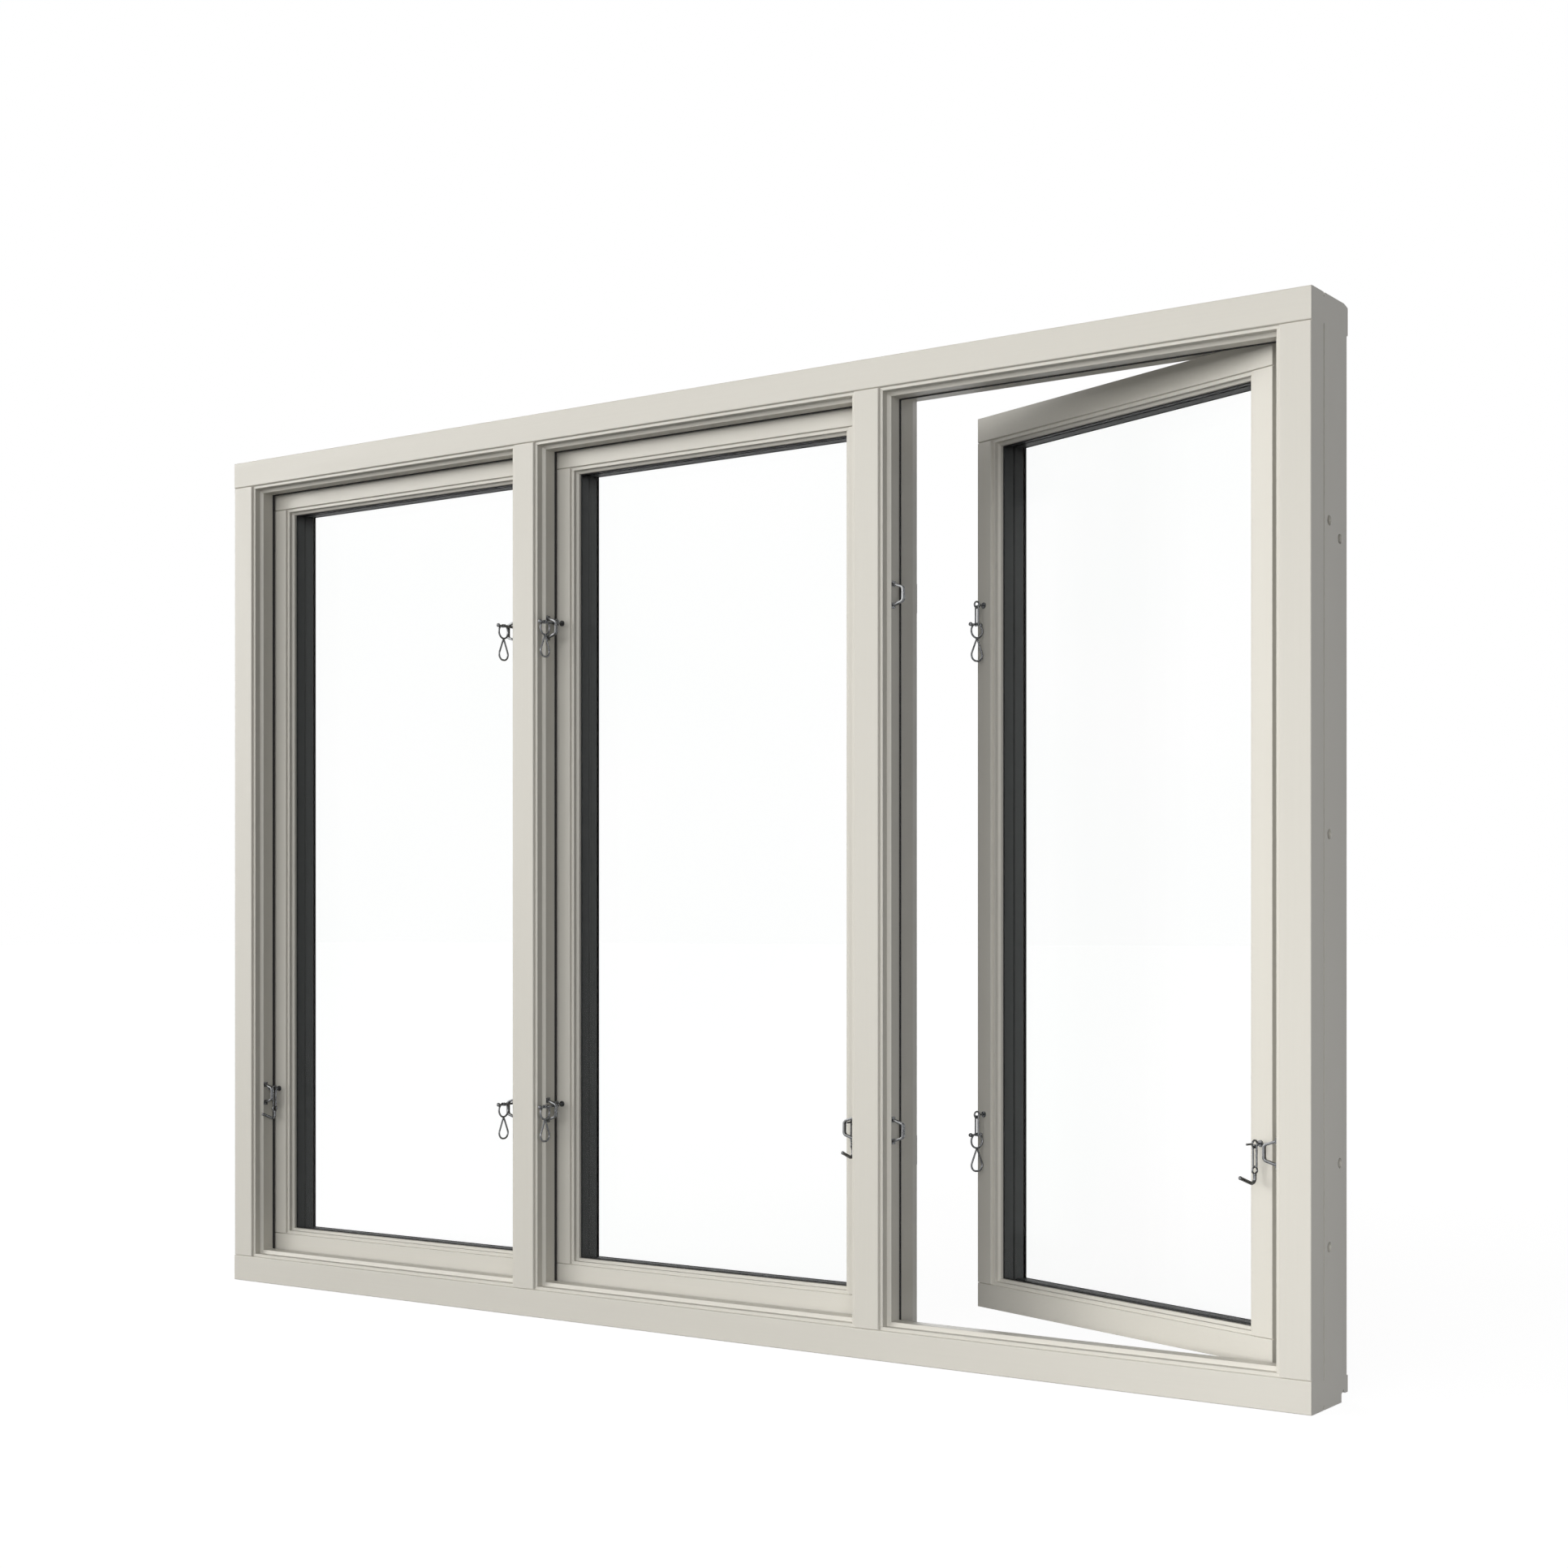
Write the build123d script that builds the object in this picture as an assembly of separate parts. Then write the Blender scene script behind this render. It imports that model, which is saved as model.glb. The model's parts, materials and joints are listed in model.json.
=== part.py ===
from build123d import *
import os
from math import cos, radians, sin, sqrt

# A three-light painted timber window with side-hung casements that open outwards.
# X runs to the right as seen from the room, Y runs from the room to the outside,
# Z is up. The origin lies under the sill, at mid width and mid frame depth.

# Outer frame
WIDTH = 1780.0
HEIGHT = 1280.0
DEPTH = 107.0
LIP = 3.5
FACE = 38.5
MULLION = 37.0
EDGE_R = 1.6

# Moulding of the frame, as offsets from the outer edge and depths from the room face
QUIRK = 0.8
QUIRK_DEPTH = 3.5
FIRST_STEP = 43.4
FIRST_STEP_DEPTH = 13.5
STOP = 48.8
STOP_BEVEL = 2.0
STOP_DEPTH = 34.5
REBATE = 36.0
LOCK_BEVEL = 5.0
LOCK_BEVEL_DEEP = 19.0

# Fine grooves where an upright meets the bars above and below it
JOINT = 1.2
JOINT_DEEP = 2.5

# Wall groove round the frame, head bevel and sill nose
GROOVE_AT = 38.0
GROOVE_WIDTH = 3.0
GROOVE_DEEP = 5.0
HEAD_BEVEL = 8.0
HEAD_BEVEL_DROP = 3.0
SILL_REBATE = 33.5
SILL_NOSE_TOP = 29.5
SILL_NOSE_UNDER = 9.5
SILL_FOOT_IN = 19.5
DRIP_IN = 13.5
DRIP_WIDE = 6.0
DRIP_HIGH = 14.5

# Fixing holes through the jambs, and blind holes behind the hinges
HOLE_R = 6.0
HOLE_DEPTH = 54.0
HOLE_HEIGHTS = (185.0, 660.0, 1021.0)
BLIND_HOLE_IN = 21.0
BLIND_HOLE_DEEP = 12.0

# Casements
GAP = 5.0
SASH_FACE = 31.8
SASH_QUIRK = 0.6
SASH_QUIRK_DEPTH = 3.2
SASH_STEP = 36.9
SASH_STEP_DEPTH = 8.4
SASH_BEVEL = 2.0
SASH_SIGHT = 40.7
SASH_EDGE_R = 1.0
GLASS_SEAT = 16.0
GLASS_REBATE = 22.0
OPEN_ANGLE = 20.0

# Sealed glass units and outer beads
PANE = 4.0
PANES = 3
GLASS_EDGE = 25.0
SPACER_EDGE = 38.0
BEAD_EDGE = 37.0
BEAD_DEEP = 9.5
BEAD_NOSE = 3.0
BEAD_SLOPE = 9.0

# Lift-off hinges on the outside
HINGE_HEIGHTS = (279.0, 1004.0)
BARREL_R = 6.0
KNUCKLE = 38.0
KNUCKLE_GAP = 0.4
PIN_R = 3.5
PIN_CLEAR = 0.05
LEAF = 2.5
LEAF_WIDE = 28.0

# Wire hardware on the room side
HASP_HEIGHTS = (301.0, 986.0)
HOOK_DROP = 1.0
EYE_INSET = 18.0
EYE_STAND = 12.5
EYE_R = 4.2
WIRE_R = 1.2
ROSE_R = 4.0
ROSE_THICK = 1.5
LINK_SPREAD = 2.8
LINK_LONG = 25.0
CROSS_R = 2.4
KNOB_R = 2.8
KNOB_OUT = 11.0
TAIL_R = 2.3
TAIL_OUT = 7.0
PULL_WIRE_R = 1.3
PULL_RING = 18.0
PULL_LONG = 31.0
PULL_WIDE = 27.0
HOOK_STAND = 10.0
HOOK_PIN = 9.0
HOOK_WIRE_R = 2.1
HOOK_RING = 4.0
HOOK_STEM = 12.0
HOOK_REACH = 24.0
HOOK_RISE = 9.5
HOOK_BEND = 5.0
STAPLE_TALL = 35.0
STAPLE_OUT = 17.5
STAPLE_BEND = 3.0
STAPLE_LUG = 7.0
STAPLE_WIRE_R = 1.4
STAPLE_DEPTH = 19.5
STAPLE_DROP = 8.0
HOOK_STAPLE_DROP = 7.0

MID = DEPTH / 2
OUTER = DEPTH + LIP
SASH_FRONT = STOP_DEPTH + GAP
SASH_THICK = DEPTH - SASH_FRONT
BAY = (WIDTH - 2 * FACE - 2 * MULLION) / 3
OVERHANG = FACE - REBATE
SASH_WIDE = BAY + 2 * OVERHANG - 2 * GAP
SASH_LOW = REBATE + GAP
SASH_HIGH = HEIGHT - REBATE - GAP
HINGE_OUT = DEPTH + BARREL_R - MID
GLASS_OUT = SASH_THICK - BEAD_DEEP
CAVITY = (GLASS_OUT - GLASS_SEAT - PANES * PANE) / (PANES - 1)
HOOK_HEIGHT = HASP_HEIGHTS[0] - HOOK_DROP
PIVOT_DROP = EYE_R - 2 * WIRE_R - 0.1

nodes = {}


def rounded(points):
    """Closed edges through (u, v) or (u, v, radius) points, rounded where a radius is given."""
    pts = [Vector(p[0], p[1], 0) for p in points]
    radii = [p[2] if len(p) > 2 else 0.0 for p in points]
    edges = []
    ends = []
    for i, here in enumerate(pts):
        back = (pts[i - 1] - here).normalized()
        ahead = (pts[(i + 1) % len(pts)] - here).normalized()
        if radii[i] == 0.0:
            ends.append((here, here))
            continue
        half = back.get_angle(ahead) / 2
        reach = radii[i] / sin(radians(half)) * cos(radians(half))
        start = here + back * reach
        stop = here + ahead * reach
        way = (back + ahead).normalized()
        middle = here + way * (radii[i] / sin(radians(half)) - radii[i])
        edges.append(ThreePointArc(start, middle, stop))
        ends.append((start, stop))
    for i, (_, leave) in enumerate(ends):
        edges.append(Line(leave, ends[(i + 1) % len(ends)][0]))
    return edges


def main_solid(shape):
    """The largest solid of a shape, without the offcuts of a cope."""
    return shape.solids().sort_by(SortBy.VOLUME)[-1]


def bar(points, u_axis, v_axis, start, length):
    """Run a section along the third axis; u_axis and v_axis place the section's own axes."""
    along = Vector(*u_axis).cross(Vector(*v_axis))
    plane = Plane(origin=start, x_dir=u_axis, z_dir=tuple(along))
    return extrude(plane * make_face(rounded(points)), amount=length)


def sharp(points):
    """The same section without its roundings: a piece coped against it leaves the arris free."""
    return [p[:2] for p in points]


def frame_edge(depth, lock=False):
    """The moulded inner edge of the frame, from room to outside; a lock side is bevelled outside."""
    bevel = [(REBATE, depth - LOCK_BEVEL_DEEP), (REBATE - LOCK_BEVEL, depth, EDGE_R)]
    return [
        (FACE, 0, EDGE_R),
        (FACE + QUIRK, QUIRK_DEPTH),
        (FIRST_STEP, QUIRK_DEPTH, EDGE_R / 2),
        (FIRST_STEP, FIRST_STEP_DEPTH),
        (STOP, FIRST_STEP_DEPTH + STOP_BEVEL, EDGE_R / 2),
        (STOP, STOP_DEPTH),
        (REBATE, STOP_DEPTH),
    ] + (bevel if lock else [(REBATE, depth, EDGE_R)])


def wall_groove():
    """The groove on the outer edge, from outside to room."""
    far = GROOVE_AT + GROOVE_WIDTH / 2
    near = GROOVE_AT - GROOVE_WIDTH / 2
    return [(0, far), (GROOVE_DEEP, far), (GROOVE_DEEP, near), (0, near)]


# Head and sill run the full width; jambs and mullions are coped between them.
head_section = [(0, 0, EDGE_R)] + frame_edge(OUTER)
head_section += [(HEAD_BEVEL_DROP, OUTER), (0, OUTER - HEAD_BEVEL - LIP)] + wall_groove()
head_run = ((0, 0, -1), (0, 1, 0), (-WIDTH / 2, -MID, HEIGHT), WIDTH)
nodes["frame_head"] = bar(head_section, *head_run)

sill_section = [(0, 0, EDGE_R)] + frame_edge(OUTER)[:-2]
sill_section += [
    (SILL_REBATE, STOP_DEPTH),
    (SILL_NOSE_TOP, OUTER, EDGE_R),
    (SILL_NOSE_UNDER, OUTER),
    (SILL_NOSE_UNDER, OUTER - DRIP_IN + DRIP_WIDE),
    (DRIP_HIGH, OUTER - DRIP_IN),
    (SILL_NOSE_UNDER, OUTER - SILL_FOOT_IN),
    (0, OUTER - SILL_FOOT_IN),
] + wall_groove()
sill_run = ((0, 0, 1), (0, 1, 0), (WIDTH / 2, -MID, 0), WIDTH)
nodes["frame_sill"] = bar(sill_section, *sill_run)
cope = bar(sharp(head_section), *head_run) + bar(sharp(sill_section), *sill_run)
for height in (FACE + JOINT / 2, HEIGHT - FACE - JOINT / 2):
    cope += Pos(0, -MID, height) * Box(WIDTH, 2 * JOINT_DEEP, JOINT)

jamb_section = [(0, 0, EDGE_R)] + frame_edge(DEPTH) + [(0, DEPTH)] + wall_groove()
left = bar(jamb_section, (1, 0, 0), (0, 1, 0), (-WIDTH / 2, -MID, 0), HEIGHT)
left = main_solid(left - cope)
for height in HOLE_HEIGHTS:
    hole = Cylinder(HOLE_R, 2 * REBATE, rotation=(0, 90, 0))
    left -= Pos(-WIDTH / 2 + REBATE / 2, HOLE_DEPTH - MID, height) * hole
for height in HINGE_HEIGHTS:
    hole = Cylinder(HOLE_R, 2 * BLIND_HOLE_DEEP, rotation=(0, 90, 0))
    left -= Pos(-WIDTH / 2, MID - BLIND_HOLE_IN, height) * hole
nodes["left_jamb"] = left
nodes["right_jamb"] = mirror(left, Plane.YZ)


def mullion_half(side, lock):
    """One half of a mullion's section; side is its X direction."""
    return [(side * (p[0] - FACE + MULLION / 2),) + tuple(p[1:]) for p in frame_edge(DEPTH, lock)]


mullion_at = (BAY + MULLION) / 2
for name, x, left_locks in (("left_mullion", -mullion_at, True), ("right_mullion", mullion_at, False)):
    mullion_section = mullion_half(1, True) + mullion_half(-1, left_locks)[::-1]
    post = bar(mullion_section, (1, 0, 0), (0, 1, 0), (x, -MID, 0), HEIGHT)
    nodes[name] = main_solid(post - cope)


def wire(path, radius):
    """A round wire along an open or closed path."""
    start = path @ 0
    return sweep(Plane(origin=start, z_dir=path % 0) * Circle(radius), path=path)


def rod(a, b, radius):
    """A straight round rod between two points."""
    way = Vector(*b) - Vector(*a)
    return extrude(Plane(origin=a, z_dir=tuple(way)) * Circle(radius), amount=way.length)


def ball(at, radius):
    """A round knob or wire end."""
    return Pos(*at) * Sphere(radius)


def ring_of(x0, x1, z0, z1, outer_edge, inner_edge, y0, y1):
    """A rectangular frame in the plane of a casement."""
    wide = x1 - x0
    tall = z1 - z0
    centre = ((x0 + x1) / 2, (y0 + y1) / 2, (z0 + z1) / 2)
    body = Box(wide - 2 * outer_edge, y1 - y0, tall - 2 * outer_edge)
    body -= Box(wide - 2 * inner_edge, 2 * (y1 - y0), tall - 2 * inner_edge)
    return Pos(*centre) * body


def casement(x0, hinge_right):
    """The closed timber and glass of one casement, in nodes keyed by piece."""
    x1 = x0 + SASH_WIDE
    y = SASH_FRONT - MID
    z0, z1 = SASH_LOW, SASH_HIGH
    section = [
        (0, 0),
        (SASH_FACE, 0, SASH_EDGE_R),
        (SASH_FACE + SASH_QUIRK, SASH_QUIRK_DEPTH),
        (SASH_STEP, SASH_QUIRK_DEPTH, EDGE_R / 2),
        (SASH_STEP, SASH_STEP_DEPTH),
        (SASH_SIGHT, SASH_STEP_DEPTH + SASH_BEVEL, EDGE_R / 2),
        (SASH_SIGHT, GLASS_SEAT),
        (GLASS_REBATE, GLASS_SEAT),
        (GLASS_REBATE, SASH_THICK),
        (0, SASH_THICK, EDGE_R),
    ]
    top_run = ((0, 0, -1), (0, 1, 0), (x0, y, z1), SASH_WIDE)
    bottom_run = ((0, 0, 1), (0, 1, 0), (x1, y, z0), SASH_WIDE)
    top = bar(section, *top_run)
    bottom = bar(section, *bottom_run)
    cope = bar(sharp(section), *top_run) + bar(sharp(section), *bottom_run)
    for height in (z0 + SASH_FACE + JOINT / 2, z1 - SASH_FACE - JOINT / 2):
        cope += Pos((x0 + x1) / 2, y, height) * Box(SASH_WIDE, 2 * JOINT_DEEP, JOINT)
    left_stile = bar(section, (1, 0, 0), (0, 1, 0), (x0, y, z0), z1 - z0)
    left_stile = main_solid(left_stile - cope)
    right_stile = bar(section, (-1, 0, 0), (0, 1, 0), (x1, y, z1), z1 - z0)
    right_stile = main_solid(right_stile - cope)

    # The lock edge leans back so that its room corner clears the frame as it swings.
    reach = SASH_WIDE + GAP / 2
    swing = HINGE_OUT - y
    lean = reach - sqrt(reach * reach + (swing - SASH_THICK) ** 2 - swing * swing)
    lock_x = x0 if hinge_right else x1
    inward = 1 if hinge_right else -1
    wedge = make_face(
        Polyline(
            (lock_x - inward * GAP, y - GAP),
            (lock_x + inward * lean * (1 + GAP / SASH_THICK), y - GAP),
            (lock_x, y + SASH_THICK),
            (lock_x - inward * GAP, y + SASH_THICK),
            close=True,
        )
    )
    wedge = Pos(0, 0, z0 - GAP) * extrude(wedge, amount=z1 - z0 + 2 * GAP, dir=(0, 0, 1))

    pieces = {}
    pieces["top_rail"] = top - wedge
    pieces["bottom_rail"] = bottom - wedge
    pieces["hinge_stile"] = right_stile if hinge_right else left_stile
    pieces["lock_stile"] = (left_stile if hinge_right else right_stile) - wedge

    panes = []
    spacers = []
    for i in range(PANES):
        front = y + GLASS_SEAT + i * (PANE + CAVITY)
        pane = Box(SASH_WIDE - 2 * GLASS_EDGE, PANE, z1 - z0 - 2 * GLASS_EDGE)
        panes.append(Pos((x0 + x1) / 2, front + PANE / 2, (z0 + z1) / 2) * pane)
        if i < PANES - 1:
            back = front + PANE
            spacers.append(ring_of(x0, x1, z0, z1, GLASS_EDGE, SPACER_EDGE, back, back + CAVITY))
    pieces["glass_panes"] = Compound(panes)
    pieces["glass_spacers"] = Compound(spacers)

    bead_front = y + GLASS_OUT
    bead_back = y + SASH_THICK
    beads = ring_of(x0, x1, z0, z1, GLASS_REBATE, BEAD_EDGE, bead_front, bead_back)
    plane = Plane(
        origin=((x0 + x1) / 2, bead_front + BEAD_NOSE, (z0 + z1) / 2), x_dir=(1, 0, 0), z_dir=(0, 1, 0)
    )
    near = plane * Rectangle(SASH_WIDE - 2 * BEAD_EDGE, z1 - z0 - 2 * BEAD_EDGE)
    spread = 2 * (BEAD_EDGE - BEAD_SLOPE)
    far = plane.offset(bead_back - bead_front - BEAD_NOSE)
    far = far * Rectangle(SASH_WIDE - spread, z1 - z0 - spread)
    pieces["outer_beads"] = beads - loft([near.face(), far.face()])
    return pieces


def hinge_pair(axis_x, away, on_sash):
    """Two half hinges; away is the X direction in which the leaf lies from the barrel."""
    halves = []
    for height in HINGE_HEIGHTS:
        low = height + KNUCKLE_GAP if on_sash else height - KNUCKLE
        tall = KNUCKLE - KNUCKLE_GAP if on_sash else KNUCKLE
        centre = low + tall / 2
        body = Pos(axis_x, HINGE_OUT, centre) * Cylinder(BARREL_R, tall)
        leaf = Box(LEAF_WIDE, LEAF, tall)
        body += Pos(axis_x + away * LEAF_WIDE / 2, DEPTH - MID + LEAF / 2, centre) * leaf
        pin_tall = KNUCKLE - 6
        if on_sash:
            bore = Cylinder(PIN_R + PIN_CLEAR, 2 * pin_tall + 2)
            body -= Pos(axis_x, HINGE_OUT, height) * bore
        else:
            pin = Cylinder(PIN_R, pin_tall, align=(Align.CENTER, Align.CENTER, Align.MIN))
            body += Pos(axis_x, HINGE_OUT, height) * pin
        halves.append(body)
    return Compound(halves)


def screw_eye(stand):
    """A screw eye that stands out of a face towards the room, its ring across X."""
    rose = rod((0, 0, 0), (0, -ROSE_THICK, 0), ROSE_R)
    shank = rod((0, -ROSE_THICK, 0), (0, -stand + EYE_R, 0), WIRE_R)
    ring = Pos(0, -stand, 0) * Torus(EYE_R, WIRE_R, rotation=(0, 90, 0))
    return rose + shank + ring


def link(stand, drop):
    """A double-wire link that pivots in a screw eye's ring and hangs down by drop."""
    y = -stand
    z = -PIVOT_DROP
    body = rod((-LINK_SPREAD, y, z), (LINK_SPREAD, y, z), WIRE_R)
    for side in (-1, 1):
        body += ball((side * LINK_SPREAD, y, z), WIRE_R)
        body += rod((side * LINK_SPREAD, y, z), (side * LINK_SPREAD, y, z - drop), WIRE_R)
    return body


def pull(y, z):
    """A wire pull: a small ring round the cross pin and a pear-shaped grip below it."""
    ring = PULL_RING - PULL_WIRE_R
    waist = z - PULL_RING
    wide = PULL_WIDE / 2
    corners = [(0, 0, PULL_WIRE_R), (wide, -PULL_LONG, wide * 0.6), (-wide, -PULL_LONG, wide * 0.6)]
    grip = Pos(0, y, waist) * (Plane.YZ * Wire(rounded(corners)))
    body = Pos(0, y, z - ring / 2) * Torus(ring / 2 + PULL_WIRE_R, PULL_WIRE_R, rotation=(0, 90, 0))
    return body + wire(grip, PULL_WIRE_R * 0.98)


def hasp(latched):
    """A hasp of link, cross pin with knobs and wire pull, hanging or reaching into the room."""
    y = -EYE_STAND
    z = -PIVOT_DROP
    body = link(EYE_STAND, LINK_LONG)
    if latched:
        body = Pos(0, y, z) * Rot(-90, 0, 0) * Pos(0, -y, -z) * body
        y -= LINK_LONG
    else:
        z -= LINK_LONG
    body += rod((-LINK_SPREAD, y, z), (LINK_SPREAD, y, z), CROSS_R)
    body += rod((0, y + TAIL_OUT, z), (0, y - KNOB_OUT, z), WIRE_R)
    body += ball((0, y + TAIL_OUT, z), TAIL_R)
    body += ball((0, y - KNOB_OUT, z), KNOB_R)
    return body + pull(y, z)


def hook():
    """A hanging storm hook: link, small ring, and a stem bent up towards the room."""
    y = -HOOK_STAND
    z = -PIVOT_DROP - LINK_LONG
    ring = z - HOOK_RING
    top = ring - HOOK_RING - WIRE_R
    foot = top - HOOK_STEM
    body = link(HOOK_STAND, LINK_LONG)
    body += rod((-LINK_SPREAD, y, z), (LINK_SPREAD, y, z), 1.1 * WIRE_R)
    body += Pos(0, y, ring) * Torus(HOOK_RING, WIRE_R, rotation=(0, 90, 0))
    tip = (0, y - HOOK_REACH, foot + HOOK_RISE)
    body += ball((0, y, top), 1.1 * HOOK_WIRE_R)
    body += wire(FilletPolyline((0, y, top), (0, y, foot), tip, radius=HOOK_BEND), HOOK_WIRE_R)
    return body + ball(tip, 1.1 * HOOK_WIRE_R)


def hook_eye():
    """A screw eye with a short pin towards the room, which keeps the hook's link in its ring."""
    tip = -HOOK_STAND - EYE_R - HOOK_PIN
    pin = rod((0, -HOOK_STAND - EYE_R, 0), (0, tip, 0), WIRE_R)
    return screw_eye(HOOK_STAND) + pin + ball((0, tip, 0), 1.1 * WIRE_R)


def staple():
    """A bowed staple on a face that looks along +X, centred on its height."""
    tall = STAPLE_TALL / 2
    foot = tall - STAPLE_LUG / 2
    out = STAPLE_OUT - STAPLE_WIRE_R
    bends = [(0, 0, -foot), (out, 0, -tall / 2), (out, 0, tall / 2), (0, 0, foot)]
    bow = wire(FilletPolyline(*bends, radius=STAPLE_BEND), STAPLE_WIRE_R)
    bow -= Pos(-STAPLE_OUT, 0, 0) * Box(2 * STAPLE_OUT, STAPLE_OUT, 2 * STAPLE_TALL)
    for side in (-1, 1):
        lug = Box(STAPLE_WIRE_R, STAPLE_LUG, STAPLE_LUG)
        bow += Pos(STAPLE_WIRE_R / 2, 0, side * foot) * lug
    return bow


BAYS = (
    ("left", -WIDTH / 2 + FACE, False, 0.0),
    ("middle", -BAY / 2, True, 0.0),
    ("right", WIDTH / 2 - FACE - BAY, True, OPEN_ANGLE),
)

for bay, face_x, hinge_right, angle in BAYS:
    x0 = face_x - OVERHANG + GAP
    x1 = x0 + SASH_WIDE
    axis_x = x1 + GAP / 2 if hinge_right else x0 - GAP / 2
    side = 1 if hinge_right else -1
    lock_x = x0 if hinge_right else x1
    turn = Pos(axis_x, HINGE_OUT, 0) * Rot(0, 0, -side * angle) * Pos(-axis_x, -HINGE_OUT, 0)
    for piece, solid in casement(x0, hinge_right).items():
        nodes[bay + "_" + piece] = turn * solid
    nodes[bay + "_sash_hinges"] = turn * hinge_pair(axis_x, -side, True)
    nodes[bay + "_frame_hinges"] = hinge_pair(axis_x, side, False)

    front = SASH_FRONT - MID
    eye_x = lock_x + side * EYE_INSET
    hook_x = (x1 if hinge_right else x0) - side * EYE_INSET
    eyes = [Pos(eye_x, front, z) * screw_eye(EYE_STAND) for z in HASP_HEIGHTS]
    eyes.append(Pos(hook_x, front, HOOK_HEIGHT) * hook_eye())
    nodes[bay + "_screw_eyes"] = turn * Compound(eyes)
    hung = [Pos(eye_x, front, z) * hasp(not angle) for z in HASP_HEIGHTS]
    if angle:
        nodes[bay + "_lower_hasp"] = turn * hung[0]
        nodes[bay + "_upper_hasp"] = turn * hung[1]
    else:
        nodes[bay + "_hasps"] = Compound(hung)
    nodes[bay + "_storm_hook"] = turn * (Pos(hook_x, front, HOOK_HEIGHT) * hook())

    stop_x = face_x - FACE + STOP if hinge_right else face_x + BAY + FACE - STOP
    far_x = face_x + BAY + FACE - STOP if hinge_right else face_x - FACE + STOP
    depth = STAPLE_DEPTH - MID
    facing = 0 if hinge_right else 180
    keeps = [Pos(stop_x, depth, z - STAPLE_DROP) * Rot(0, 0, facing) * staple() for z in HASP_HEIGHTS]
    keeps.append(Pos(far_x, depth, HOOK_HEIGHT - HOOK_STAPLE_DROP) * Rot(0, 0, 180 - facing) * staple())
    nodes[bay + "_staples"] = Compound(keeps)

os.makedirs("parts", exist_ok=True)
for name, solid in nodes.items():
    export_step(solid, "parts/" + name + ".step")
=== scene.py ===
# %% [markdown]
# # A three-light casement window
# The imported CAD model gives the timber, glass, hinges and wire fittings their true shapes and places.
# This lesson gives them paint, glass and zinc, adds the rubber seals, the small screws and the straps of the
# staples, and lights the window as a plain product picture.

# %% Load the frame
import json
import math

import bmesh
import bpy
from mathutils import Matrix, Vector

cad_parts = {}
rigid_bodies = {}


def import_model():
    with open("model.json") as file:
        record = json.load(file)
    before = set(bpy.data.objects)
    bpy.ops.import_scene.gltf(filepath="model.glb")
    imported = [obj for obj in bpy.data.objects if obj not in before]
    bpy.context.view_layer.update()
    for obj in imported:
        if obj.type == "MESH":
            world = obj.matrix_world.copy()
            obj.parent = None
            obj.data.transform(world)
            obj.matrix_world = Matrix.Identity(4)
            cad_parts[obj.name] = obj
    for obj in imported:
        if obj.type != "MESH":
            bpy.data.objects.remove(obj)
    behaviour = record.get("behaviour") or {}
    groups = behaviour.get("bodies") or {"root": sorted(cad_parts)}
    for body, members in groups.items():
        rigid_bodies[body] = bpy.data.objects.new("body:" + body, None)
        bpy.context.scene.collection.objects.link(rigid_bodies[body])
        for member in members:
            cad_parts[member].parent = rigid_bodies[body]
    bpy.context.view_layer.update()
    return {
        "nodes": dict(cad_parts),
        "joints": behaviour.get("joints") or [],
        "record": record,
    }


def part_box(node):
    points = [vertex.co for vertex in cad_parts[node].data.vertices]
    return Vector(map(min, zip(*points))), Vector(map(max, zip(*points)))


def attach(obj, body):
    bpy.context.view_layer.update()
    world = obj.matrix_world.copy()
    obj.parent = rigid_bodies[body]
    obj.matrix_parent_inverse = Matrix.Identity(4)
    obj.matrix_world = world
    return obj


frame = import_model()
nodes = frame["nodes"]
scene = bpy.context.scene
scene.view_settings.view_transform = "Standard"

# %% [markdown]
# ## Painted timber
# The real surface is pine under a warm white satin paint. An image could be wrapped round it, but noise
# stretched along the grain gives the faint brush strokes at any size, on every face, without a seam.
# Uprights and level bars get the same paint with the strokes turned.


# %% Node helpers
def new_finish(name):
    """An empty node material with its Principled shader."""
    material = bpy.data.materials.new(name)
    material.use_nodes = True
    return material, material.node_tree, material.node_tree.nodes["Principled BSDF"]


def noise(tree, stretch, detail):
    """Noise on Object coordinates; stretch is in repeats per metre along X, Y and Z."""
    place = tree.nodes.new("ShaderNodeTexCoord")
    mapping = tree.nodes.new("ShaderNodeMapping")
    mapping.inputs["Scale"].default_value = stretch
    texture = tree.nodes.new("ShaderNodeTexNoise")
    texture.inputs["Scale"].default_value = 1.0
    texture.inputs["Detail"].default_value = detail
    tree.links.new(place.outputs["Object"], mapping.inputs["Vector"])
    tree.links.new(mapping.outputs["Vector"], texture.inputs["Vector"])
    return texture.outputs["Fac"]


def tones(tree, factor, dark, light):
    """A ramp between two colours over the middle of a noise's range."""
    ramp = tree.nodes.new("ShaderNodeValToRGB")
    ramp.color_ramp.elements[0].position = 0.3
    ramp.color_ramp.elements[0].color = (*dark, 1.0)
    ramp.color_ramp.elements[1].position = 0.7
    ramp.color_ramp.elements[1].color = (*light, 1.0)
    tree.links.new(factor, ramp.inputs["Fac"])
    return ramp.outputs["Color"]


def spread(tree, factor, low, high):
    """Map a noise's middle range to a range of values."""
    node = tree.nodes.new("ShaderNodeMapRange")
    node.inputs["From Min"].default_value = 0.3
    node.inputs["From Max"].default_value = 0.7
    node.inputs["To Min"].default_value = low
    node.inputs["To Max"].default_value = high
    tree.links.new(factor, node.inputs["Value"])
    return node.outputs["Result"]


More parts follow.
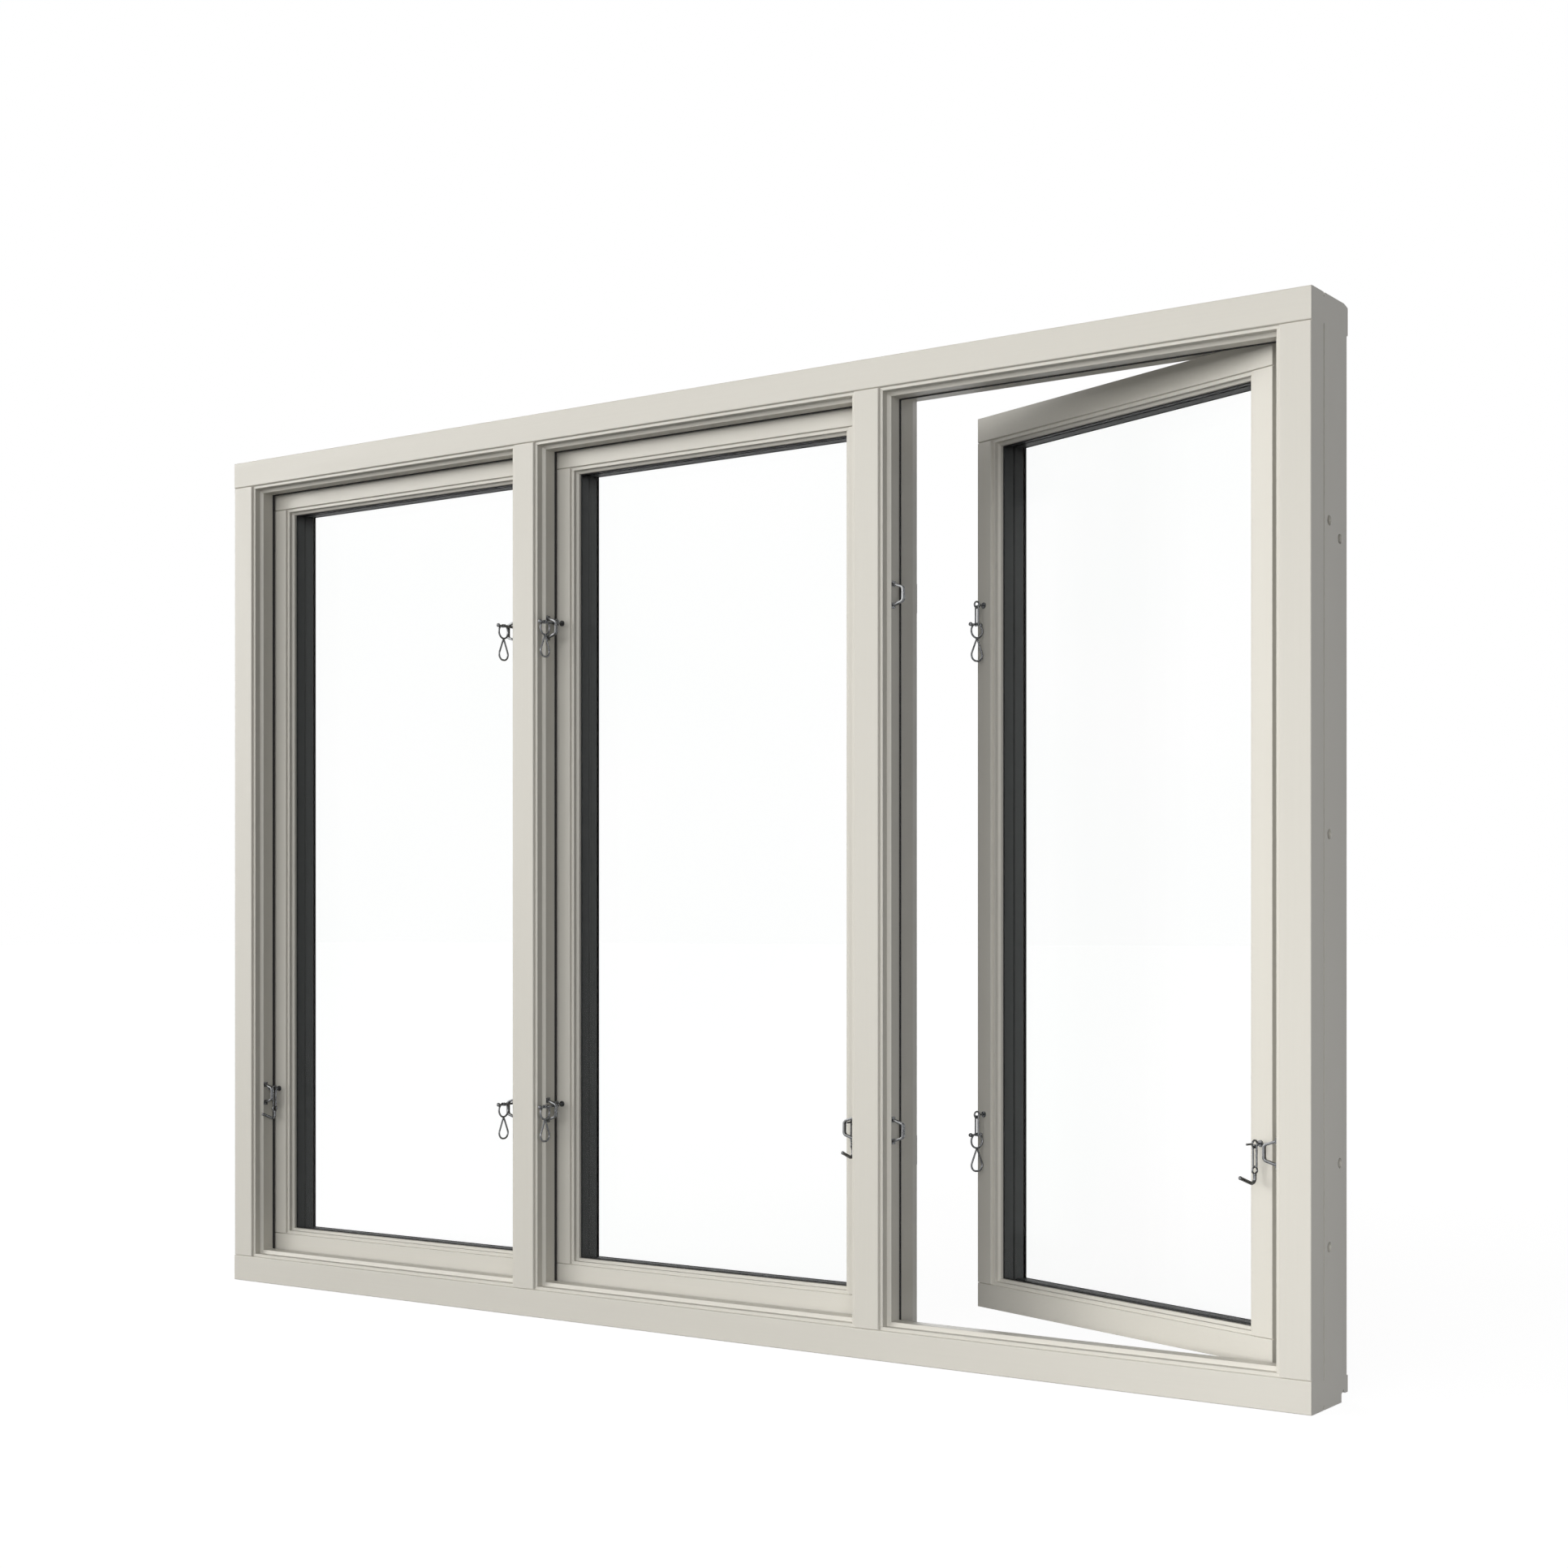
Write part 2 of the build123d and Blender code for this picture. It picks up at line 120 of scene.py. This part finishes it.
def relief(tree, shader, height, depth, strength):
    """A bump of the given depth in metres on the shader's normal."""
    bump = tree.nodes.new("ShaderNodeBump")
    bump.inputs["Distance"].default_value = depth
    bump.inputs["Strength"].default_value = strength
    tree.links.new(height, bump.inputs["Height"])
    tree.links.new(bump.outputs["Normal"], shader.inputs["Normal"])


print("helpers ready")

# %% Satin paint, upright and level
PAINT_DARK = (0.715, 0.693, 0.631)
PAINT_LIGHT = (0.745, 0.723, 0.660)


def satin_paint(name, stroke):
    """Satin paint whose brush strokes run along one axis: stroke holds repeats per metre."""
    material, tree, shader = new_finish(name)
    strokes = noise(tree, stroke, 4.0)
    clouds = noise(tree, (2.2, 2.2, 2.2), 2.0)
    blend = tree.nodes.new("ShaderNodeMix")
    blend.inputs["Factor"].default_value = 0.35
    tree.links.new(clouds, blend.inputs["A"])
    tree.links.new(strokes, blend.inputs["B"])
    tree.links.new(tones(tree, blend.outputs["Result"], PAINT_DARK, PAINT_LIGHT), shader.inputs["Base Color"])
    tree.links.new(spread(tree, strokes, 0.36, 0.46), shader.inputs["Roughness"])
    relief(tree, shader, strokes, 0.00015, 0.25)
    return material


paint_upright = satin_paint("paint_upright", (420.0, 420.0, 9.0))
paint_level = satin_paint("paint_level", (9.0, 420.0, 420.0))
print("paint:", paint_upright.name, paint_level.name)

# %% [markdown]
# ## Glass, spacer, rubber and zinc
# Float glass is clear, with a trace of green. Six surfaces in a row would mirror the timber as grey streaks, which
# the picture to match doesn't have, so the panes get a lower refractive index than real glass. The spacer round
# the edge of a sealed unit is a black bar with a fine grain, and seals are soft black rubber. The wire fittings
# and hinges are zinc plated, which shows as a grey metal with cloudy patches that change its gloss more than its
# colour.

# %% Clear glass
LOW_INDEX = 1.1
clear_glass, tree, shader = new_finish("clear_glass")
film = noise(tree, (3.0, 3.0, 3.0), 2.0)
tree.links.new(tones(tree, film, (0.994, 0.998, 0.996), (1.0, 1.0, 1.0)), shader.inputs["Base Color"])
shader.inputs["Roughness"].default_value = 0.0
shader.inputs["IOR"].default_value = LOW_INDEX
shader.inputs["Transmission Weight"].default_value = 1.0
print("glass:", clear_glass.name)


# %% Black spacer and rubber
def black_finish(name, dark, light, grain, gloss, shine):
    """A dark fine-grained finish; gloss holds the range of its roughness and shine its mirror strength."""
    material, tree, shader = new_finish(name)
    speck = noise(tree, (grain, grain, grain), 3.0)
    tree.links.new(tones(tree, speck, dark, light), shader.inputs["Base Color"])
    tree.links.new(spread(tree, speck, *gloss), shader.inputs["Roughness"])
    shader.inputs["Specular IOR Level"].default_value = shine
    return material


spacer_black = black_finish(
    "spacer_black", (0.055, 0.058, 0.057), (0.065, 0.068, 0.067), 240.0, gloss=(0.42, 0.5), shine=0.1
)
seal_rubber = black_finish(
    "seal_rubber", (0.008, 0.008, 0.008), (0.014, 0.014, 0.014), 900.0, gloss=(0.55, 0.75), shine=0.3
)
print("blacks:", spacer_black.name, seal_rubber.name)

# %% Zinc plate
zinc_plate, tree, shader = new_finish("zinc_plate")
patches = noise(tree, (160.0, 160.0, 160.0), 4.0)
tree.links.new(tones(tree, patches, (0.1, 0.103, 0.107), (0.17, 0.174, 0.18)), shader.inputs["Base Color"])
tree.links.new(spread(tree, patches, 0.2, 0.34), shader.inputs["Roughness"])
relief(tree, shader, patches, 0.0001, 0.2)
shader.inputs["Metallic"].default_value = 1.0
print("zinc:", zinc_plate.name)

# %% [markdown]
# ## Give every CAD node its finish
# The record names a material slot for each node, so the slot chooses the finish. Only the painted pieces need
# one more question: does the bar stand or lie?

# %% Dress the nodes
FINISHES = {"clear_glass": clear_glass, "black_spacer": spacer_black, "zinc_steel": zinc_plate}
UPRIGHT = ("jamb", "mullion", "stile")
for entry in frame["record"]["subparts"]:
    name = entry["node"]
    finish = FINISHES.get(entry["material_slot"])
    if finish is None:
        finish = paint_upright if any(word in name for word in UPRIGHT) else paint_level
    node = nodes[name]
    node.data.materials.clear()
    node.data.materials.append(finish)

# %% [markdown]
# ## Rubber seals
# A soft bulb seal runs round each light on the face that the casement closes against. It could be swept along a
# path, but a sheet that is inset to a ring, given thickness and rounded is quicker, and its corners meet.


# %% Ring helper
def ring(wide, tall, strip, thick, round_off):
    """A flat rectangular ring round the origin in the XZ plane, from y = 0 towards +Y."""
    bm = bmesh.new()
    bmesh.ops.create_grid(bm, x_segments=1, y_segments=1, size=0.5)
    bmesh.ops.scale(bm, vec=(wide, tall, 1.0), verts=bm.verts)
    sheet = bm.faces[:]
    bmesh.ops.inset_region(bm, faces=sheet, thickness=strip, use_boundary=True, use_even_offset=True)
    bmesh.ops.delete(bm, geom=sheet, context="FACES")
    bmesh.ops.solidify(bm, geom=bm.faces[:], thickness=thick)
    bmesh.ops.rotate(bm, cent=(0, 0, 0), matrix=Matrix.Rotation(math.pi / 2, 3, "X"), verts=bm.verts)
    low = min(v.co.y for v in bm.verts)
    bmesh.ops.translate(bm, vec=(0, -low, 0), verts=bm.verts)
    bmesh.ops.bevel(
        bm, geom=bm.edges[:], offset=round_off, affect="EDGES", segments=2, profile=0.5, material=-1
    )
    bmesh.ops.recalc_face_normals(bm, faces=bm.faces)
    return bm


def keep_piece(bm, name, finish, body):
    """Store a bmesh as a piece of the window that moves with a body."""
    mesh = bpy.data.meshes.new(name)
    bm.to_mesh(mesh)
    bm.free()
    mesh.shade_smooth()
    mesh.set_sharp_from_angle(angle=math.radians(35))
    mesh.materials.append(finish)
    piece = bpy.data.objects.new(name, mesh)
    scene.collection.objects.link(piece)
    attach(piece, body)
    return piece


print("ring and keep_piece ready")

# %% Where the lights and casements are
OPEN_ANGLE = math.radians(20.0)
STOP_BACK = -0.019
HINGE_GAP = 0.0025
rail_low, rail_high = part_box("left_top_rail")
foot_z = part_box("left_bottom_rail")[0].z
sash_wide = rail_high.x - rail_low.x
sash_mid_z = (rail_high.z + foot_z) / 2
sash_tall = rail_high.z - foot_z
hinges = {j["child"]: Vector(j["pos_m"]) for j in frame["joints"] if j["parent"] == "frame"}
lights = {}
for bay in ("left", "middle", "right"):
    axis = hinges[bay + "_casement"]
    away = 1.0 if bay == "left" else -1.0
    lights[bay] = axis.x + away * (HINGE_GAP + sash_wide / 2)
    print(bay, "light at x =", round(lights[bay], 4))

# %% Seals on the frame
SEAL_STRIP = 0.0083
SEAL_THICK = 0.0032
SEAL_ROUND = 0.0008
SEAL_EASE = 0.002
SEAL_DROP = 0.0023
LIP_LOW, LIP_HIGH = 0.004, 0.015
for bay, mid_x in lights.items():
    bm = ring(sash_wide - SEAL_EASE, sash_tall - SEAL_EASE, SEAL_STRIP, SEAL_THICK, SEAL_ROUND)
    lip = [v for v in bm.verts if LIP_LOW < v.co.z + sash_tall / 2 < LIP_HIGH]
    bmesh.ops.translate(bm, vec=(0, 0, -SEAL_DROP), verts=lip)
    bmesh.ops.translate(bm, vec=(mid_x, STOP_BACK, sash_mid_z), verts=bm.verts)
    seal = keep_piece(bm, bay + "_frame_seal", seal_rubber, "frame")
    print(seal.name, "faces:", len(seal.data.polygons))

# %% [markdown]
# ## Glazing gaskets
# A thin black line runs where the glass meets the timber, inside and out. It is the same ring, thinner. On the
# open casement it turns about the hinge, as the casement does.


# %% Gaskets on the casements
def swing_open(bm, bay):
    """Turn a piece of the right casement from shut to the way it stands."""
    if bay == "right":
        turn = Matrix.Rotation(-OPEN_ANGLE, 3, "Z")
        bmesh.ops.rotate(bm, cent=hinges["right_casement"], matrix=turn, verts=bm.verts)


SIGHT = 0.0407
BEAD = 0.037
GLASS_IN = 0.002
GLASS_OUT = 0.044
GASKET_THICK = 0.0016
GASKET_ROUND = 0.0003
TUCK = 0.0002
GASKETS = (
    ("inner", SIGHT - TUCK, 0.0014, GLASS_IN - GASKET_THICK),
    ("outer", BEAD - TUCK, 0.0011, GLASS_OUT),
)
for bay, mid_x in lights.items():
    for side, edge, strip, y in GASKETS:
        bm = ring(sash_wide - 2 * edge, sash_tall - 2 * edge, strip, GASKET_THICK, GASKET_ROUND)
        bmesh.ops.translate(bm, vec=(mid_x, y, sash_mid_z), verts=bm.verts)
        swing_open(bm, bay)
        gasket = keep_piece(bm, bay + "_" + side + "_gasket", seal_rubber, bay + "_casement")
        print(gasket.name, "faces:", len(gasket.data.polygons))

# %% [markdown]
# ## Screws
# Each hinge leaf is held by countersunk screws with a cross recess. A screw could be a plain disc, but a cross
# cut with four planes and pushed in is only a few faces more, and catches the light as the real one does.


# %% Screw head
def screw_head(bm, at, radius, out, turn):
    """Add a countersunk head with a cross recess at a point; out is the way it faces."""
    made = bmesh.ops.create_cone(
        bm, cap_ends=True, segments=20, radius1=radius, radius2=radius * 0.92, depth=radius * 0.3
    )
    verts = made["verts"]
    top = max(verts, key=lambda v: v.co.z).co.z
    cap = [f for f in {f for v in verts for f in v.link_faces} if f.calc_center_median().z > top - 1e-6]
    bmesh.ops.inset_region(bm, faces=cap, thickness=radius * 0.22)
    slot = radius * 0.12
    for axis in (Vector((1, 0, 0)), Vector((0, 1, 0))):
        for side in (-slot, slot):
            geom = cap + list({e for f in cap for e in f.edges}) + list({v for f in cap for v in f.verts})
            bmesh.ops.bisect_plane(bm, geom=geom, dist=1e-7, plane_co=axis * side, plane_no=axis)
            near = {f for v in verts for f in v.link_faces}
            island = set(near)
            grow = list(near)
            while grow:
                face = grow.pop()
                for edge in face.edges:
                    for other in edge.link_faces:
                        if other not in island:
                            island.add(other)
                            grow.append(other)
            inner = radius * 0.72
            cap = [
                f for f in island
                if f.calc_center_median().z > top - 1e-6 and f.calc_center_median().xy.length < inner
            ]
    cross = [
        f for f in cap
        if min(abs(f.calc_center_median().x), abs(f.calc_center_median().y)) < slot
    ]
    pushed = bmesh.ops.extrude_face_region(bm, geom=cross)
    bmesh.ops.delete(bm, geom=cross, context="FACES")
    deep = [v for v in pushed["geom"] if isinstance(v, bmesh.types.BMVert)]
    bmesh.ops.translate(bm, vec=(0, 0, -radius * 0.25), verts=deep)
    whole = list({v for f in island if f.is_valid for v in f.verts} | set(deep))
    spin_round = Matrix.Rotation(turn, 3, "Z")
    face_out = Vector((0, 0, 1)).rotation_difference(Vector(out)).to_matrix()
    bmesh.ops.rotate(bm, cent=(0, 0, 0), matrix=face_out @ spin_round, verts=whole)
    bmesh.ops.translate(bm, vec=at, verts=whole)


print("screw_head ready")

# %% Screws in the hinge leaves
LEAF_FACE = 0.056
LEAF_STEP = 0.019
HINGE_HEIGHTS = (0.279, 1.004)
SCREW_RADIUS = 0.0031
SCREW_SPOTS = ((0.013, 0.0), (0.021, 0.0105), (0.021, -0.0105))
for bay in lights:
    axis = hinges[bay + "_casement"]
    to_sash = 1.0 if bay == "left" else -1.0
    for body, away, step in ((bay + "_casement", to_sash, LEAF_STEP), ("frame", -to_sash, -LEAF_STEP)):
        bm = bmesh.new()
        for row, height in enumerate(HINGE_HEIGHTS):
            for k, (reach, lift) in enumerate(SCREW_SPOTS):
                at = (axis.x + away * reach, LEAF_FACE, height + step + lift)
                screw_head(bm, at, SCREW_RADIUS, (0, 1, 0), 0.7 * k + 0.4 * row)
        if body != "frame":
            swing_open(bm, bay)
        bmesh.ops.recalc_face_normals(bm, faces=bm.faces)
        name = bay + ("_sash" if body != "frame" else "_frame") + "_hinge_screws"
        screws = keep_piece(bm, name, zinc_plate, body)
        print(screws.name, "faces:", len(screws.data.polygons))

# %% [markdown]
# ## Staple straps
# A staple for a hasp is a strip of steel, bent to a bow between two square feet. A swept profile would do, but a
# line of four points with rounded corners, drawn out sideways and thickened, shows each step of the bending.
# The CAD model carries the bow as a round bar, which the strip sheathes.


# %% Bend one strap
STRAP_WIDE = 0.005
STRAP_THICK = 0.003
STRAP_BEND = 0.003
STRAP_EDGE = 0.0005
BOW = ((-0.001, -0.0143), (0.0161, -0.00875), (0.0161, 0.00875), (-0.001, 0.0143))


def strap(at, way):
    """A bowed strip on a face; way is 1 where the face looks along +X and -1 where it looks along -X."""
    bm = bmesh.new()
    bends = [bm.verts.new((x, -STRAP_WIDE / 2, z)) for x, z in BOW]
    for a, b in zip(bends, bends[1:]):
        bm.edges.new((a, b))
    bmesh.ops.bevel(
        bm, geom=bends[1:3], offset=STRAP_BEND, affect="VERTICES", segments=4, profile=0.5, material=-1
    )
    drawn = bmesh.ops.extrude_edge_only(bm, edges=bm.edges[:])
    far = [g for g in drawn["geom"] if isinstance(g, bmesh.types.BMVert)]
    bmesh.ops.translate(bm, vec=(0, STRAP_WIDE, 0), verts=far)
    bmesh.ops.recalc_face_normals(bm, faces=bm.faces)
    bm.normal_update()
    for vert in bm.verts:
        vert.co += vert.normal * STRAP_THICK / 2
    bmesh.ops.solidify(bm, geom=bm.faces[:], thickness=STRAP_THICK)
    rims = [e for e in bm.edges if len(e.link_faces) == 2 and e.calc_face_angle(0.0) > 1.2]
    bmesh.ops.bevel(bm, geom=rims, offset=STRAP_EDGE, affect="EDGES", segments=2, profile=0.5, material=-1)
    about = Matrix.Rotation(math.pi * (way < 0), 3, "Z")
    bmesh.ops.rotate(bm, cent=(0, 0, 0), matrix=about, verts=bm.verts)
    bmesh.ops.translate(bm, vec=at, verts=bm.verts)
    bmesh.ops.recalc_face_normals(bm, faces=bm.faces)
    return bm


print("strap ready")

# %% Straps on the reveals
STAPLE_Y = -0.035
STAPLE_LOW, STAPLE_HIGH = 0.293, 0.978
for bay in lights:
    low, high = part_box(bay + "_staples")
    lock_side = -1 if bay == "left" else 1
    for place, way, height in (
        ("lower", lock_side, STAPLE_LOW),
        ("upper", lock_side, STAPLE_HIGH),
        ("hook", -lock_side, STAPLE_LOW),
    ):
        face = low.x if way > 0 else high.x
        bm = strap((face, STAPLE_Y, height), way)
        band = keep_piece(bm, bay + "_" + place + "_strap", zinc_plate, "frame")
        print(band.name, "faces:", len(band.data.polygons))

# %% [markdown]
# ## Studio
# The floor and the far background are plain white to the camera. Light Path keeps that white away from the
# paint: the floor is darker to bounced light, so that the undersides stay as dark as they are in a wall.

# %% Light path helpers
def path_math(tree, operation, a, b):
    """One Math node on sockets or numbers."""
    node = tree.nodes.new("ShaderNodeMath")
    node.operation = operation
    for socket, value in zip(node.inputs, (a, b)):
        if isinstance(value, float):
            socket.default_value = value
        else:
            tree.links.new(value, socket)
    return node.outputs["Value"]


def in_sight(tree):
    """One for what the camera sees, straight, through glass or in a reflection, and zero for bounced light."""
    path = tree.nodes.new("ShaderNodeLightPath")
    sight = path_math(tree, "MAXIMUM", path.outputs["Is Camera Ray"], path.outputs["Is Glossy Ray"])
    sight = path_math(tree, "MAXIMUM", sight, path.outputs["Is Transmission Ray"])
    straight = path_math(tree, "LESS_THAN", path.outputs["Diffuse Depth"], 0.5)
    return path_math(tree, "MULTIPLY", sight, straight)


print("light path helpers ready")

# %% Floor
FLOOR_GLOW = 0.94
floor_paint, tree, shader = new_finish("studio_floor")
cloud = noise(tree, (0.7, 0.7, 0.7), 2.0)
tree.links.new(tones(tree, cloud, (0.195, 0.195, 0.195), (0.205, 0.205, 0.205)), shader.inputs["Base Color"])
shader.inputs["Roughness"].default_value = 1.0
shader.inputs["Specular IOR Level"].default_value = 0.0
shader.inputs["Emission Color"].default_value = (1.0, 1.0, 1.0, 1.0)
glow = path_math(tree, "MULTIPLY", in_sight(tree), FLOOR_GLOW)
tree.links.new(glow, shader.inputs["Emission Strength"])
print("floor paint:", floor_paint.name)

# %% Floor sheet
bm = bmesh.new()
bmesh.ops.create_grid(bm, x_segments=1, y_segments=1, size=60.0)
bmesh.ops.translate(bm, vec=(0, 0, -0.0005), verts=bm.verts)
mesh = bpy.data.meshes.new("studio_floor")
bm.to_mesh(mesh)
bm.free()
mesh.materials.append(floor_paint)
floor = bpy.data.objects.new("studio_floor", mesh)
scene.collection.objects.link(floor)
print("floor:", floor.name)

# %% World
AMBIENT = 0.02
world = bpy.data.worlds.new("studio")
scene.world = world
world.use_nodes = True
backdrop = world.node_tree.nodes["Background"]
backdrop.inputs["Color"].default_value = (1.0, 1.0, 1.0, 1.0)
lift = path_math(world.node_tree, "MULTIPLY", in_sight(world.node_tree), 1.0 - AMBIENT)
lift = path_math(world.node_tree, "ADD", lift, AMBIENT)
world.node_tree.links.new(lift, backdrop.inputs["Strength"])
print("world ambient:", AMBIENT)


# %% [markdown]
# A lamp this wide would mirror in the panes as a white veil over the black spacers. A photographer hides it
# with a screen; here the lamps are linked to everything but the glass, which mirrors the white room alone.

# %% Keep the lamps out of the glass
all_but_panes = bpy.data.collections.new("all_but_panes")
for name, node in nodes.items():
    if "glass_panes" in name:
        all_but_panes.objects.link(node)
for item in all_but_panes.collection_objects:
    item.light_linking.link_state = "EXCLUDE"


# %% Lamps
WARM = (1.0, 0.985, 0.95)
NEUTRAL = (1.0, 1.0, 1.0)


def soft_sun(name, azimuth, elevation, softness, strength, colour):
    """A sun with a wide disc: azimuth 0 shines from the room, 90 from the right, in degrees."""
    data = bpy.data.lights.new(name, "SUN")
    data.color = colour
    data.angle = math.radians(softness)
    data.energy = strength
    lamp = bpy.data.objects.new(name, data)
    turn = math.radians(azimuth)
    rise = math.radians(elevation)
    source = Vector((math.sin(turn) * math.cos(rise), -math.cos(turn) * math.cos(rise), math.sin(rise)))
    lamp.rotation_euler = source.to_track_quat("Z", "Y").to_euler()
    lamp.light_linking.receiver_collection = all_but_panes
    scene.collection.objects.link(lamp)
    print(name, "azimuth", azimuth, "elevation", elevation, "strength", strength)
    return lamp


soft_sun("key_lamp", -40.0, 8.0, 40.0, 1.33, WARM)
soft_sun("left_lamp", -65.0, 8.0, 40.0, 1.06, WARM)
soft_sun("top_lamp", 5.0, 26.0, 40.0, 0.56, NEUTRAL)
soft_sun("front_lamp", -8.0, 4.0, 30.0, 0.36, WARM)
soft_sun("right_lamp", 35.0, 6.0, 40.0, 0.38, NEUTRAL)
soft_sun("side_lamp", 110.0, 10.0, 40.0, 0.3, NEUTRAL)
soft_sun("back_lamp", -130.0, 20.0, 40.0, 0.9, NEUTRAL)

# %% Low lamp
data = bpy.data.lights.new("low_lamp", "AREA")
data.size = 0.5
data.energy = 4.2
lamp = bpy.data.objects.new("low_lamp", data)
lamp.location = (1.35, -1.2, 0.3)
lamp.rotation_euler = (Vector((0.87, 0.0, 0.3)) - lamp.location).to_track_quat("-Z", "Y").to_euler()
lamp.light_linking.receiver_collection = all_but_panes
scene.collection.objects.link(lamp)
print("low lamp at", tuple(round(v, 2) for v in lamp.location))

# %% [markdown]
# The panes also block the straight rays of the lamps, so the bars between them would stay pitch black. Clear
# shadows could be mixed into the glass, but one more lamp is simpler: it shines on the spacers alone, and the
# panes cast no shadow in it.

# %% Light between the panes
between_panes = bpy.data.collections.new("between_panes")
for name, node in nodes.items():
    if "spacer" in name:
        between_panes.objects.link(node)
lamp = soft_sun("spacer_lamp", 40.0, 10.0, 40.0, 2.6, NEUTRAL)
lamp.light_linking.receiver_collection = between_panes
lamp.light_linking.blocker_collection = all_but_panes

# %% Camera
# The camera is level, turned 35 degrees, with a small shift that keeps the uprights parallel.
data = bpy.data.cameras.new("camera")
data.sensor_width = 36.0
data.lens = 53.365
data.shift_y = 0.0911
camera = bpy.data.objects.new("camera", data)
camera.location = (1.90752, -2.54985, 0.55337)
camera.rotation_euler = (math.pi / 2, 0.0, math.radians(34.956))
scene.collection.objects.link(camera)
scene.camera = camera
print("camera at", tuple(round(v, 3) for v in camera.location))
